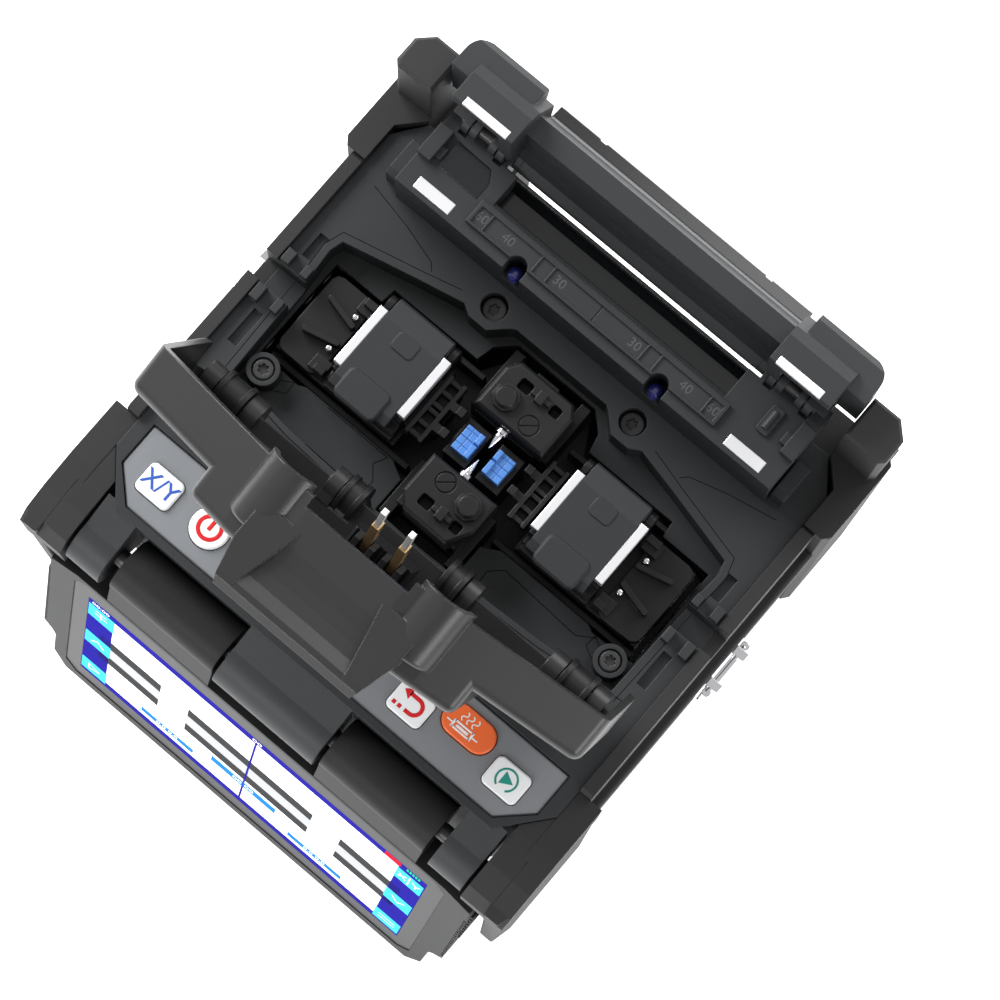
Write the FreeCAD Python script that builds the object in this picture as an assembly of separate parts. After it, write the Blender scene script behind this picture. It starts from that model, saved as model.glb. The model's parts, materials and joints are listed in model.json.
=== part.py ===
import FreeCAD, Part
import math
import os

os.makedirs("parts", exist_ok=True)

# ---- overall sizes, mm.  x to the operator's right, y to the rear, z up; the splice point is the origin while
# modelling and put() moves everything so that the origin ends at the bottom centre of the whole machine.
BODY_WIDTH = 150.0
FOOT_HEIGHT = 4.0
SPLICE_HEIGHT = 116.0
SPLICE_Y = 12.73
DECK_TOP = -4.5
TRAY_FLOOR = -13.5
CASE_SPLIT = -30.0
CASE_BOTTOM = FOOT_HEIGHT - SPLICE_HEIGHT
CASE_HALF = 68.0
CASE_FRONT = -66.0
CASE_REAR = 53.0
WALL = 2.5
BUMPER_HALF = BODY_WIDTH / 2
RAIL_TOP = -2.0
POST_TOP = 21.8

# ---- wind cover
COVER_HINGE_Y = -29.65
COVER_HINGE_Z = 9.8
COVER_OPEN_DEG = 108.0
COVER_WALL = 1.8
COVER_HALF = 64.8
COVER_REAR = 32.8
BULGE_R = 7.2
COVER_PIN_R = 2.0
DRUM_R = 5.4

# ---- monitor
MONITOR_HINGE_Y = -73.0
MONITOR_HINGE_Z = -16.0
MONITOR_PIN_R = 2.2
BARREL_R = 7.0
MONITOR_LEAN_DEG = 11.0
DISPLAY_W = 108.0
DISPLAY_H = 64.8
DISPLAY_TOP_Y = -83.93
DISPLAY_TOP_Z = -36.99
MONITOR_DEPTH = 13.0

# ---- heater
HEATER_HALF = 57.0
HEATER_FRONT = 34.4
HEATER_TOP = 12.7
TROUGH_HALF = 35.2
TROUGH_FRONT = 44.4
TROUGH_REAR = 52.2
LID_HINGE_Y = 55.9
LID_HINGE_Z = 14.6
LID_ARMS = (41.2, 51.8)
LID_PIN_R = 1.5

# ---- splice bay
VGROOVE_INNER = 2.2
VGROOVE_LENGTH = 5.0
CLAMP_INNER = 19.5
CLAMP_OUTER = 41.2
CLAMP_TOP = 2.8
CLAMP_HINGE_Y = 13.2
CLAMP_HINGE_Z = -1.6
CLAMP_PIN_R = 1.0
STAGE_TRAVEL = 1.5

# ---- fits
RUNNING_GAP = 0.05
SLIDE_GAP = 0.25
KEY_GAP = 0.2
KEY_TRAVEL = 0.8
TRIPOD_R = 3.175

# name, centre x and y, half length along x and y
KEYS = (
    ("key_xy", -53.5, -55.1, 5.05, 4.05),
    ("key_power", -38.0, -55.0, 5.0, 5.0),
    ("key_reset", 25.0, -56.0, 5.0, 4.0),
    ("key_heat", 39.0, -51.5, 7.2, 4.0),
    ("key_set", 53.5, -55.1, 5.05, 4.05),
)
KEY_ROUND = {"key_power": 4.95, "key_heat": 3.95}

X = FreeCAD.Vector(1, 0, 0)
Y = FreeCAD.Vector(0, 1, 0)
Z = FreeCAD.Vector(0, 0, 1)


def vec(x, y, z):
    return FreeCAD.Vector(x, y, z)


def box(x0, x1, y0, y1, z0, z1):
    """A block between two corners."""
    return Part.makeBox(x1 - x0, y1 - y0, z1 - z0, vec(x0, y0, z0))


def rod(radius, start, axis, length):
    """A round bar from a start point along an axis."""
    return Part.makeCylinder(radius, length, vec(*start), axis)


def cone(r0, r1, start, axis, length):
    return Part.makeCone(r0, r1, length, vec(*start), axis)


def prism(points, z0, z1):
    """A plan outline raised from z0 to z1."""
    wire = Part.makePolygon([vec(x, y, z0) for x, y in points + points[:1]])
    return Part.Face(wire).extrude(vec(0, 0, z1 - z0))


def profile(points, x0, x1):
    """A side outline of (y, z) points drawn out along x."""
    wire = Part.makePolygon([vec(x0, y, z) for y, z in points + points[:1]])
    return Part.Face(wire).extrude(vec(x1 - x0, 0, 0))


def rounded(shape, axis, radius):
    """Every edge that runs along the axis rounded."""
    edges = []
    for edge in shape.Edges:
        if edge.Curve.TypeId == "Part::GeomLine":
            if abs(abs(edge.tangentAt(edge.FirstParameter).dot(axis)) - 1) < 1e-6:
                edges.append(edge)
    return shape.makeFillet(radius, edges)


def rbox(x0, x1, y0, y1, z0, z1, radius, axis=Z):
    return rounded(box(x0, x1, y0, y1, z0, z1), axis, radius)


def soften_top(shape, radius):
    """The rim of the highest flat face bevelled."""
    top = shape.BoundBox.ZMax
    edges = [e for e in shape.Edges if abs(e.BoundBox.ZMin - top) < 1e-6 and abs(e.BoundBox.ZMax - top) < 1e-6]
    return shape.makeChamfer(radius, edges)


def round_top(shape, radius):
    """The rim of the highest flat face rounded over."""
    top = shape.BoundBox.ZMax
    edges = [e for e in shape.Edges if abs(e.BoundBox.ZMin - top) < 1e-6 and abs(e.BoundBox.ZMax - top) < 1e-6]
    return shape.makeFillet(radius, edges)


def join(*shapes):
    return shapes[0].multiFuse(list(shapes[1:])).removeSplitter()


def cut(shape, *tools):
    return shape.cut(list(tools))


def mirrored(shape):
    return shape.mirror(vec(0, 0, 0), X)


def both(shape):
    """A shape and its mirror image on the other side of the machine."""
    return [shape, mirrored(shape)]


def symmetric(points):
    """A half outline (x >= 0) closed by its mirror image."""
    return points + [(-x, y) for x, y in reversed(points) if x > 0]


def turned(shape, y, z, degrees):
    """A shape turned about an x axis through (y, z)."""
    copy = shape.copy()
    copy.rotate(vec(0, y, z), X, degrees)
    return copy


def put(name, *solids):
    """Writes one node, moved into the machine's own frame."""
    shape = solids[0] if len(solids) == 1 else Part.makeCompound(list(solids))
    shape = shape.copy()
    shape.translate(vec(0, SPLICE_Y, SPLICE_HEIGHT))
    shape.exportStep("parts/" + name + ".step")


# ------------------------------------------------------------------ body


def body_outline(inset):
    half = CASE_HALF - inset
    front = CASE_FRONT + inset
    rear = CASE_REAR - inset
    return symmetric([
        (44, front), (half - 10, front), (half, front + 12), (half, rear - 8), (half - 6, rear), (40, rear),
    ])


SIDE_SLOTS = ((15, 19), (8, 12.5), (-7.5, -3))


def lower_case():
    """The open-topped tub under the deck."""
    shell = prism(body_outline(0), CASE_BOTTOM + 3, CASE_SPLIT)
    shell = cut(shell, prism(body_outline(WALL), CASE_BOTTOM, CASE_SPLIT + 1))
    tools = []
    for y0, y1 in SIDE_SLOTS:
        for side in (-1, 1):
            mid = (y0 + y1) / 2
            slot = rbox(side * CASE_HALF - 5, side * CASE_HALF + 5, mid - 2, mid + 2, -62, -44, 1.9, X)
            tools.append(slot)
    tools.append(rbox(-46, -18, CASE_REAR - 4, CASE_REAR + 1, -70, -52, 2.0, Y))
    tools.append(rbox(10, 46, CASE_REAR - 4, CASE_REAR + 1, -88, -52, 3.0, Y))
    for row in range(6):
        tools.append(box(-CASE_HALF - 1, -CASE_HALF + 4, -44, -16, -96 + 6 * row, -93.5 + 6 * row))
    tools.append(box(CASE_HALF - 4, CASE_HALF + 1, -46, 24, -104, -70))
    return cut(shell, *tools)


def battery_door():
    """The door over the battery, in the right wall."""
    door = box(CASE_HALF - WALL, CASE_HALF, -45.8, 23.8, -103.8, -70.2)
    grips = [box(CASE_HALF - 1, CASE_HALF + 1, 12, 20, -98 + 4 * row, -97 + 4 * row) for row in range(6)]
    return cut(door, *grips)


def base_plate():
    plate = prism(body_outline(0), CASE_BOTTOM, CASE_BOTTOM + 3)
    boss = rod(9, (0, 0, CASE_BOTTOM + 3), Z, 9)
    hole = rod(TRIPOD_R, (0, 0, CASE_BOTTOM - 1), Z, 14)
    ribs = [box(12, 64, y, y + 2, CASE_BOTTOM + 3, CASE_BOTTOM + 6) for y in (-40, -12, 16)]
    return cut(join(plate, boss, *ribs), hole)


def feet():
    return [soften_foot(x, y) for x in (-56, 56) for y in (-52, 42)]


def soften_foot(x, y):
    foot = rod(7, (x, y, CASE_BOTTOM - FOOT_HEIGHT), Z, FOOT_HEIGHT)
    rim = [e for e in foot.Edges if abs(e.BoundBox.ZMax - (CASE_BOTTOM - FOOT_HEIGHT)) < 1e-6]
    return foot.makeChamfer(1.0, rim)


TRAY = [
    (0, -26.6), (15.6, -26.2), (39, -25), (58.7, -23.2), (59.3, 2.2), (60.2, 14.2), (59.2, 17.7),
    (39.2, 22.5), (27.5, 25.1), (24.6, 23.4), (19.4, 23.4), (15.2, 27.4), (14, 28.2), (0, 28.2),
]
BAY = [
    (0, -26.4), (12.4, -26.4), (12.4, -16), (17, -13.5), (44, -13.5), (46, -14.5), (58.2, -14.0), (58.2, 14),
    (44, 14), (43.5, 18.2), (17.5, 18.2), (16.4, 23), (12, 27.2), (0, 27.2),
]


def upper_deck():
    """The upper case: deck, tray round the splice bay, keypad well and monitor knuckles."""
    block = prism(body_outline(0), CASE_SPLIT, DECK_TOP)
    inner = prism(body_outline(WALL), CASE_SPLIT - 1, TRAY_FLOOR - 3)
    tray = prism(symmetric(TRAY), TRAY_FLOOR, 0)
    bay = prism(symmetric(BAY), CASE_SPLIT, 0)
    well = prism(keypad_outline(0.15), DECK_TOP - 2.5, 0)
    tools = [inner, tray, bay, well]
    for name, x, y, half_x, half_y in KEYS:
        tools.append(box(x - half_x - 0.6, x + half_x + 0.6, y - half_y - 0.6, y + half_y + 0.6, -10.5, 0))
    for side in (-1, 1):
        tools.append(box(side * 64 - 6, side * 64 + 6, -2.4, 4.3, -11.5, 0))
        tools.append(box(side * 63.3 - 1.3, side * 63.3 + 1.3, -18, -8, -6, 0))
        tools.append(box(side * 63.3 - 1.3, side * 63.3 + 1.3, 9, 16, -6, 0))
        tools.append(profile([(-72, -28), (-72, 0), (-66.5, 0), (-66.5, -28)], side * 33 - 17.5, side * 33 + 17.5))
    deck = cut(block, *tools)
    parts = []
    for side in (-1, 1):
        parts.append(rod(4.1, (side * 53.8, -17.75, TRAY_FLOOR - 3), Z, 10))
        parts.append(box(side * 66.2 - 1.2, side * 66.2 + 1.2, 4.6, 8.1, DECK_TOP, -1.2))
        parts.append(box(side * 66.2 - 1.2, side * 66.2 + 1.2, -7, -2.8, DECK_TOP, -1.2))
        parts.append(box(side * 60.5 - 1, side * 60.5 + 1, 4.6, 7.6, DECK_TOP, -1.6))
        parts.append(box(side * 60.5 - 1, side * 60.5 + 1, -6.4, -2.8, DECK_TOP, -1.6))
        parts.append(profile([(35.9, -4.6), (35.9, 3), (37.5, 5), (46, 5), (46, -4.6)], side * 59.4 - 1.8, side * 59.4 + 1.8))
        parts.append(knuckle(side * 56.5 - 5, side * 56.5 + 5))
    parts.append(knuckle(-15.5, 15.5))
    deck = join(deck, *parts)
    holes = []
    for side in (-1, 1):
        holes.append(rod(2.9, (side * 53.8, -17.75, -8.6), Z, 4))
        holes.append(rod(1.5, (side * 53.8, -17.75, -20), Z, 14))
        holes.append(rod(3.4, (side * 21.45, 29.1, -9.5), Z, 8))
        holes.append(rod(1.5, (side * 21.45, 29.1, -18), Z, 14))
    holes.append(rod(MONITOR_PIN_R, (-62.5, MONITOR_HINGE_Y, MONITOR_HINGE_Z), X, 125))
    return cut(deck, *holes)


def knuckle(x0, x1):
    """A hinge knuckle of the body, running back into the case front."""
    arm = profile([(CASE_FRONT + 2, -28), (CASE_FRONT + 2, DECK_TOP), (MONITOR_HINGE_Y + 5, DECK_TOP - 1.5),
                   (MONITOR_HINGE_Y, MONITOR_HINGE_Z + BARREL_R + 1.2), (MONITOR_HINGE_Y, MONITOR_HINGE_Z - 6)], x0, x1)
    ring = rod(BARREL_R + 1.2, (x0, MONITOR_HINGE_Y, MONITOR_HINGE_Z), X, x1 - x0)
    return join(arm, ring)


def keypad_outline(margin):
    m = margin
    return symmetric([(56.4 + m / 2, -63.8 - m), (64.1 + m, -56.4 - m / 2), (64.1 + m, -44.8 + m)])


def rear_bumper():
    """The right rear rubber corner, with the post that guards the heater lid."""
    corner = prism([(CASE_HALF, 36), (BUMPER_HALF - 1.5, 36), (BUMPER_HALF, 38), (BUMPER_HALF, 60), (70, 65.2),
                    (40, 65.2), (40, CASE_REAR), (62, CASE_REAR), (CASE_HALF, CASE_REAR - 6)], -108, -14)
    back = prism([(40, 56), (73.8, 56), (73.8, 65.2), (40, 65.2)], -14, -6)
    side = prism([(CASE_HALF, 36), (BUMPER_HALF - 1.5, 36), (BUMPER_HALF, 38), (BUMPER_HALF, 60), (70, 65.2),
                  (62.3, 65.2), (62.3, CASE_REAR), (CASE_HALF, CASE_REAR - 6)], -14, RAIL_TOP)
    post = prism([(62.3, 53.7), (72.5, 53.7), (73.8, 55), (73.8, 61.5), (70, 65.2), (62.3, 65.2)], RAIL_TOP, POST_TOP)
    body = join(corner, side, cut(back, box(30, 62.3, 50, 70, -15, 0)), soften_top(post, 0.8))
    groove = box(BUMPER_HALF - 0.8, BUMPER_HALF + 1, 37, 49, RAIL_TOP - 2, RAIL_TOP - 0.6)
    return cut(body, groove)


def front_bumper():
    """The right front rubber corner, curved down in front of the case."""
    plan = prism([(CASE_HALF, -46), (BUMPER_HALF - 1.5, -46), (BUMPER_HALF, -48), (BUMPER_HALF, -76), (73.6, -82),
                  (69.5, -82), (69.5, -70), (CASE_HALF, -62)], -106, -9)
    plan = rounded(plan, Z, 0.7)
    cap = profile([(-82, -30), (-82, -13), (-79, -9), (-72, -6.5), (-62, -5), (-46, -5), (-46, -30)], CASE_HALF, BUMPER_HALF)
    body = join(plan, cap)
    body = cut(body, box(60, 69.5, -90, -66, -30, 0))
    step = box(BUMPER_HALF - 0.8, BUMPER_HALF + 1, -80, -46, -40, -38.5)
    return cut(body, step)


def side_rail():
    """The right rubber beam between the corners."""
    beam = profile([(-46, -30), (-46, RAIL_TOP - 1), (-45, RAIL_TOP), (35, RAIL_TOP), (36, RAIL_TOP - 1), (36, -30)],
                   CASE_HALF, 71.5)
    lower = box(CASE_HALF, BUMPER_HALF - 1, -46, 36, -42, -26)
    gate = box(CASE_HALF - 1, 76, -2.4, 4.3, -11.5, 0)
    lug_seat = box(71.5, 80, -8, 12, -50, -28)
    return cut(join(beam, rounded(lower, Y, 1.2)), gate, lug_seat)


def strap_lug():
    """The right steel lug screwed to the side, with the two eyes the rings hang from."""
    plate = rbox(71.5, 73.0, -7, 11, -39, -29, 1.5, X)
    eyes = [cut(rbox(73.0, 77.8, y - 1.2, y + 1.2, -37, -31, 1.1, Y), rod(1.3, (75.4, y - 3, -34), Y, 6)) for y in (-3, 7)]
    return join(plate, *eyes)


def strap_ring():
    """The right ring: a bow that turns on a pin held by both eyes."""
    pin = rod(1.1, (75.4, -5.2, -34), Y, 14.4)
    ends = [box(74.3, 76.5, y - 1, y + 1, -46, -33) for y in (-5.4, 9.4)]
    foot = box(74.3, 76.5, -6.4, 10.4, -48, -46)
    return join(pin, *[rounded(e, Z, 0.8) for e in ends], rounded(foot, Y, 0.8))


def bay_frame():
    """The optics frame under the splice point: floor, walls, V-groove and electrode pedestals."""
    floor = prism(symmetric([(0, -26), (12, -26), (12, -15.6), (57.5, -13.8), (57.5, 13.6), (43, 17.8), (17, 17.8),
                             (11.6, 26.8), (0, 26.8)]), -29, -26)
    parts = [floor]
    for side in (-1, 1):
        parts.append(box(side * 5 - 3.4, side * 5 + 3.4, -5.4, 5.0, -26, -4.0))
        parts.append(box(side * 10.2 - 1.4, side * 10.2 + 1.4, -25, -9, -26, -12))
        parts.append(box(side * 10.2 - 1.4, side * 10.2 + 1.4, 9, 26, -26, -12))
        parts.append(box(side * 35 - 21.5, side * 35 + 21.5, -13, -11.5, -26, -16.9))
        parts.append(box(side * 35 - 21.5, side * 35 + 21.5, 15.6, 17, -26, -16.9))
        parts.append(box(side * 35 - 21, side * 35 + 21, -2, 6, -26, -18.2))
    parts.append(box(-8.8, 8.8, 7.0, 22, -26, -4.0))
    parts.append(box(-8.8, 8.8, -21.5, -7.4, -26, -4.0))
    parts.append(box(-3.2, 3.2, 10, 24, -26, -6))
    frame = join(*parts)
    window = [box(-1.4, 1.4, -6, 6, -30, 0), box(-8.9, 8.9, -21.6, -7.3, -22, -16), box(-8.9, 8.9, 6.9, 22.1, -22, -16)]
    shafts = [rod(1.02, (0, 6.9, 0), Y, 16), rod(1.02, (0, -22, 0), Y, 15)]
    return cut(frame, *window, *shafts)


def v_groove():
    """The right blue V-groove chip: a slab with the fibre groove and a raised inner bar."""
    x0 = VGROOVE_INNER
    x1 = VGROOVE_INNER + VGROOVE_LENGTH
    slab = box(x0, x1, -3.8, 3.0, -4.0, -0.35)
    bar = profile([(-3.8, -4.0), (-3.8, 0.5), (3.0, 0.5), (3.0, -4.0)], x0, x0 + 1.3)
    groove = profile([(-0.45, 1.0), (0, -0.7), (0.45, 1.0)], x0 - 1, x1 + 1)
    lines = [box(x0 + 1.3, x1 + 0.1, y - 0.08, y + 0.08, -0.5, 0) for y in (-2.0, 2.0)]
    return cut(join(slab, bar), groove, *lines, box(x0 + 3.1, x0 + 3.25, -4, 4, -0.5, 0))


def electrode(sign, tip):
    """One tungsten electrode along y with its cone towards the fibre."""
    axis = vec(0, sign, 0)
    point = cone(0.08, 0.95, (0, sign * tip, 0), axis, 3.6)
    shaft = rod(0.95, (0, sign * (tip + 3.6), 0), axis, 12)
    collar = rod(1.6, (0, sign * (tip + 4.4), 0), axis, 1.2)
    return join(point, shaft, collar)


REAR_COVER = [(-9.1, 7.2), (11.2, 7.2), (11.2, 18.7), (9.1, 21.6), (-6.6, 21.7), (-9.1, 18.4)]
FRONT_COVER = [(-8.5, -8.2), (10.8, -8.2), (10.8, -17), (7.5, -23.1), (-5.6, -23.0), (-8.6, -19.5)]
REAR_KNOB = (-4.1, 12.5)
FRONT_KNOB = (6.0, -13.1)


def electrode_cover(outline, knob, mark, slot_y, sign):
    """A moulded cap over one electrode, with its knob hole, latch slots and a plain round mark."""
    body = soften_top(prism(outline, -4.0, 5.0), 0.7)
    tools = [rod(1.05, (0, sign * 7.0, 0), vec(0, sign, 0), 12), rod(2.05, (knob[0], knob[1], -3), Z, 12)]
    tools.append(rod(1.75, (0, sign * 6.9, 0), vec(0, sign, 0), 0.6))
    ring = cut(rod(2.6, (mark[0], mark[1], 4.7), Z, 1), rod(2.3, (mark[0], mark[1], 4.6), Z, 2))
    slash = box(mark[0] - 2.3, mark[0] + 2.3, mark[1] - 0.12, mark[1] + 0.12, 4.7, 6)
    slash.rotate(vec(mark[0], mark[1], 0), Z, 40)
    tools += [ring, slash]
    tools.append(rbox(-4.2, -0.6, slot_y - 1.5, slot_y + 1.5, -1, 6, 0.7))
    tools.append(rbox(5.4, 8.2, slot_y - 1.6, slot_y + 1.2, -1, 6, 0.7))
    body = cut(body, *tools)
    bars = [box(-0.4, 5.2, slot_y - 0.6, slot_y + 0.6, 5.0, 6.4), box(1.2, 3.4, slot_y - 1.6, slot_y + 1.6, 5.0, 7.0)]
    return join(body, *bars)


def electrode_knob(knob):
    """An eight-sided thumb knob on a plain stem."""
    x, y = knob
    sides = []
    for step in range(8):
        angle = math.radians(22.5 + 45 * step)
        sides.append((x + 3.5 * math.cos(angle), y + 3.5 * math.sin(angle)))
    skirt = prism(sides, 5.0 + RUNNING_GAP, 6.6)
    cap = rod(2.7, (x, y, 6.6), Z, 1.0)
    stem = rod(2.05 - RUNNING_GAP, (x, y, -2.9), Z, 8.5)
    return join(skirt, soften_top(cap, 0.4), stem)


def deck_screw(x, y, seat, head):
    """A pan-head screw with a six-lobed recess."""
    cap = rod(head, (x, y, seat), Z, 1.9)
    shank = rod(1.5, (x, y, seat - 6), Z, 6)
    recess = [rod(0.45, (x + 1.0 * math.cos(a), y + 1.0 * math.sin(a), seat + 0.9), Z, 2)
              for a in [math.pi / 3 * k for k in range(6)]]
    recess.append(rod(1.0, (x, y, seat + 0.9), Z, 2))
    return cut(join(soften_top(cap, 0.4), shank), *recess)


# ------------------------------------------------------------------ sheath stages and clamps

FIBRE_Y = 1.0


def funnel_rib(sign):
    """One of the two ribs that lead the sheath into the clamp."""
    rib = rbox(43.8, 53.6, -0.7, 0.7, -9.2, -5.6, 0.6)
    rib.translate(vec(0, FIBRE_Y + sign * 2.6, 0))
    rib.rotate(vec(43.8, FIBRE_Y + sign * 2.6, 0), Z, sign * 14)
    return rib


def sheath_stage():
    """The right sliding stage that carries the sheath clamp."""
    slab = box(19, 56, -11, 12, -18.2, -12)
    plate = rbox(43.5, 56, -11, 12, -12.2, -9, 2.6)
    block = box(20, 40.8, -9.6, 15.4, -12.2, -5.4)
    bed = box(20, 40.8, -7.4, 10.9, -5.6, -1.2)
    lip = box(20, 40.8, -11, -8, -12.2, -8)
    ears = []
    for x in (20.6, 40.1):
        ring = rod(2.1, (x - 0.9, CLAMP_HINGE_Y, CLAMP_HINGE_Z), X, 1.8)
        ears.append(join(ring, box(x - 0.9, x + 0.9, CLAMP_HINGE_Y - 2.1, CLAMP_HINGE_Y + 2.1, -5.6, CLAMP_HINGE_Z)))
    steps = [box(41.8, 46.5, 7.6, 11.4, -9.2, -6.4), box(41.8, 45.6, 9.4, 11.4, -9.2, -4.2),
             box(41.8, 46.5, -10.2, -6.2, -9.2, -6.4), box(41.8, 44.8, -10.2, -8.4, -9.2, -4.2)]
    link = box(13.4, 20.2, -6, 8, -11, -7)
    rails = [box(x - 0.55, x + 0.55, -7.6, 9.6, -7.2, -2.6) for x in (13.9, 17.9)]
    rungs = [box(13.4, 18.4, y - 0.55, y + 0.55, -7.2, -3.4) for y in (-6.6, -3.4, 0.2, 1.9, 5.4, 8.6)]
    arms = [box(9.6, 13.6, y, y + 2.2, -3.8, -2.6) for y in (-3.4, 3.0)]
    stops = [rbox(9.6, 11.6, y, y + 2.2, -3.8, -1.2, 0.25) for y in (-3.4, 3.0)]
    body = join(slab, plate, block, bed, lip, *ears, *steps, link, *rails, *rungs, *arms, *stops,
                funnel_rib(-1), funnel_rib(1))
    tools = [rod(CLAMP_PIN_R + RUNNING_GAP, (18, CLAMP_HINGE_Y, CLAMP_HINGE_Z), X, 25)]
    tools.append(profile([(FIBRE_Y - 0.9, 0), (FIBRE_Y, -2.4), (FIBRE_Y + 0.9, 0)], 19, 42))
    for y in (-3.9, 5.9):
        tools.append(rod(0.9, (43.9 + 1.2, y, -8), Z, 10))
    return cut(body, *tools)


def clamp_pins():
    """The steel locating pins of the right stage."""
    pins = []
    for y in (-3.9, 5.9):
        pin = rod(0.9, (45.1, y, -8), Z, 2.6)
        pins.append(pin.makeFillet(0.6, [e for e in pin.Edges if abs(e.BoundBox.ZMin + 5.4) < 1e-6]))
    return pins


def sheath_clamp():
    """The right clamp lid: plate, thumb pad, rear pad and its hinge barrel with the pin."""
    inner = CLAMP_INNER + 2.2
    outer = CLAMP_OUTER - 2.2
    plate = rounded(profile([(-11.0, -1.0), (-11.0, 2.0), (-8.5, CLAMP_TOP), (9.5, CLAMP_TOP), (15.0, 1.4), (15.6, 0.2),
                             (15.6, -1.0)], inner, outer), X, 0.4)
    barrel = rod(2.1, (inner, CLAMP_HINGE_Y, CLAMP_HINGE_Z), X, outer - inner)
    pin = rod(CLAMP_PIN_R, (CLAMP_INNER + 0.3, CLAMP_HINGE_Y, CLAMP_HINGE_Z), X, CLAMP_OUTER - CLAMP_INNER - 0.5)
    thumb = soften_top(rbox(24.4, 36.8, -12.6, -4.2, 0.6, CLAMP_TOP + 0.7, 1.8), 0.5)
    pad = rbox(27.3, 33.4, 4.6, 9.4, CLAMP_TOP - 0.4, CLAMP_TOP + 0.25, 1.2)
    jaw = box(inner + 1.5, outer - 1.5, -5.5, 7.5, -1.15, -0.9)
    ear_room = [box(x - 1.4, x + 1.4, 10.9, 16, -6, 3) for x in (20.6, 40.1)]
    return join(cut(plate, *ear_room), barrel, pin, thumb, pad, jaw)


def clamp_strips():
    """The two steel edge strips of the right clamp lid."""
    return [box(x0, x1, -6.4, 10.8, -1.0, CLAMP_TOP - 0.1)
            for x0, x1 in ((CLAMP_INNER, CLAMP_INNER + 2.2), (CLAMP_OUTER - 2.2, CLAMP_OUTER))]


# ------------------------------------------------------------------ wind cover

OUTER_DRUM = (48.1, 55.9)
INNER_DRUM = (12.5, 18.0)
COVER_KNUCKLES = ((43.5, 47.8), (56.2, 60.5), (18.3, 22.0))


def cover_plan(inset, half):
    """The plan of the closed cover, as wide as asked."""
    rear_at_half = 13.0 + (COVER_HALF - half) * 15.8 / 37.8
    points = [(13.6 - inset / 2, COVER_REAR - inset)]
    if half > 27:
        points.append((27 - inset / 2, 28.8 - inset))
    points += [(half - inset, rear_at_half - inset), (half - inset, -26 + inset / 4)]
    return symmetric(points)


def wind_cover():
    """The cover in its closed place: low wings, higher middle, two rear bulges and the finger lip."""
    low = round_top(rounded(prism(cover_plan(0, COVER_HALF), 1.7, 14.2), Z, 3.0), 2.6)
    high = round_top(rounded(prism(cover_plan(0, 37.8), 4, 21.6), Z, 2.6), 2.4)
    bulges = both(round_top(rod(BULGE_R, (21.5, 26.4, 0), Z, 16.5), 1.2))
    middle = profile([(COVER_REAR, 13.5), (33.3, 17.5), (34.4, 20.4), (36.0, 23.2), (38.3, 25.8), (38.7, 27.2),
                      (37.4, 29.4), (33, 30.2), (26, 26.5), (16, 21.6), (16, 13.5)], -17, 17)
    cheek = profile([(COVER_REAR, 9.5), (35.4, 17.5), (37.6, 23.2), (38.6, 25.8), (38.7, 27.2), (37.4, 29.4), (33, 30.2),
                     (26, 26.5), (16, 21.6), (16, 9.5)], 9, 23)
    cheek = cheek.common(slab([(11.5, 9.5), (22.4, 9.5), (22.4, 18.5), (19.0, 30.5), (16.6, 30.5)], 10, 45))
    shell = join(low, high, *bulges, middle, *both(cheek))
    w = COVER_WALL
    tools = [rounded(prism(cover_plan(w, COVER_HALF), -1, 14.2 - w), Z, 1.4)]
    tools.append(rounded(prism(cover_plan(w, 37.8), -1, 21.6 - w), Z, 1.2))
    tools += both(rod(BULGE_R - w, (21.5, 26.4, -1), Z, 15.7))
    tools.append(profile([(30.6, 13), (31.2, 18), (33.5, 23), (36.2, 26.8), (33, 28), (26.5, 24.4), (20, 21), (18, 13)],
                         -13.0, 13.0))
    tools.append(box(-14.4, 14.4, 24, 36, -1, 4.6))
    tools.append(box(-62.9, 62.9, -27, -24.5, -1, 8.0))
    for x0, x1 in (OUTER_DRUM, INNER_DRUM):
        tools += both(rod(DRUM_R + 0.35, (x0 - 0.2, COVER_HINGE_Y, COVER_HINGE_Z), X, x1 - x0 + 0.4))
    shell = cut(shell, *tools)
    knuckles = []
    for x0, x1 in COVER_KNUCKLES:
        ring = rod(4.6, (x0, COVER_HINGE_Y, COVER_HINGE_Z), X, x1 - x0)
        arm = profile([(COVER_HINGE_Y, 9.8), (-25.4, 8.1), (-25.4, 14.0), (COVER_HINGE_Y, 14.4)], x0, x1)
        knuckles += both(join(ring, arm))
    shell = join(shell, *knuckles)
    bores = []
    for x0, x1 in COVER_KNUCKLES:
        bores += both(rod(COVER_PIN_R + RUNNING_GAP, (x0 - 1, COVER_HINGE_Y, COVER_HINGE_Z), X, x1 - x0 + 2))
    return cut(shell, *bores)


PRESSER_BASE = (-11.8, 12.5)
PRESSER_TIP = (0.6, 0.75)


def along(fraction, side, width):
    """A point of the presser's side outline."""
    dy = PRESSER_TIP[0] - PRESSER_BASE[0]
    dz = PRESSER_TIP[1] - PRESSER_BASE[1]
    length = math.hypot(dy, dz)
    return (PRESSER_BASE[0] + dy * fraction - side * width * dz / length,
            PRESSER_BASE[1] + dz * fraction + side * width * dy / length)


def presser_holder():
    """The right brass presser body."""
    return profile([along(0, -1, 1.4), along(0.66, -1, 1.4), along(0.66, 1, 1.4), along(0, 1, 1.4)], 3.0, 5.0)


def presser_tip():
    """The right white presser tip."""
    return profile([along(0.66, -1, 0.9), along(1, -1, 0.9), along(1, 1, 0.9), along(0.66, 1, 0.9)], 3.3, 4.7)


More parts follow.
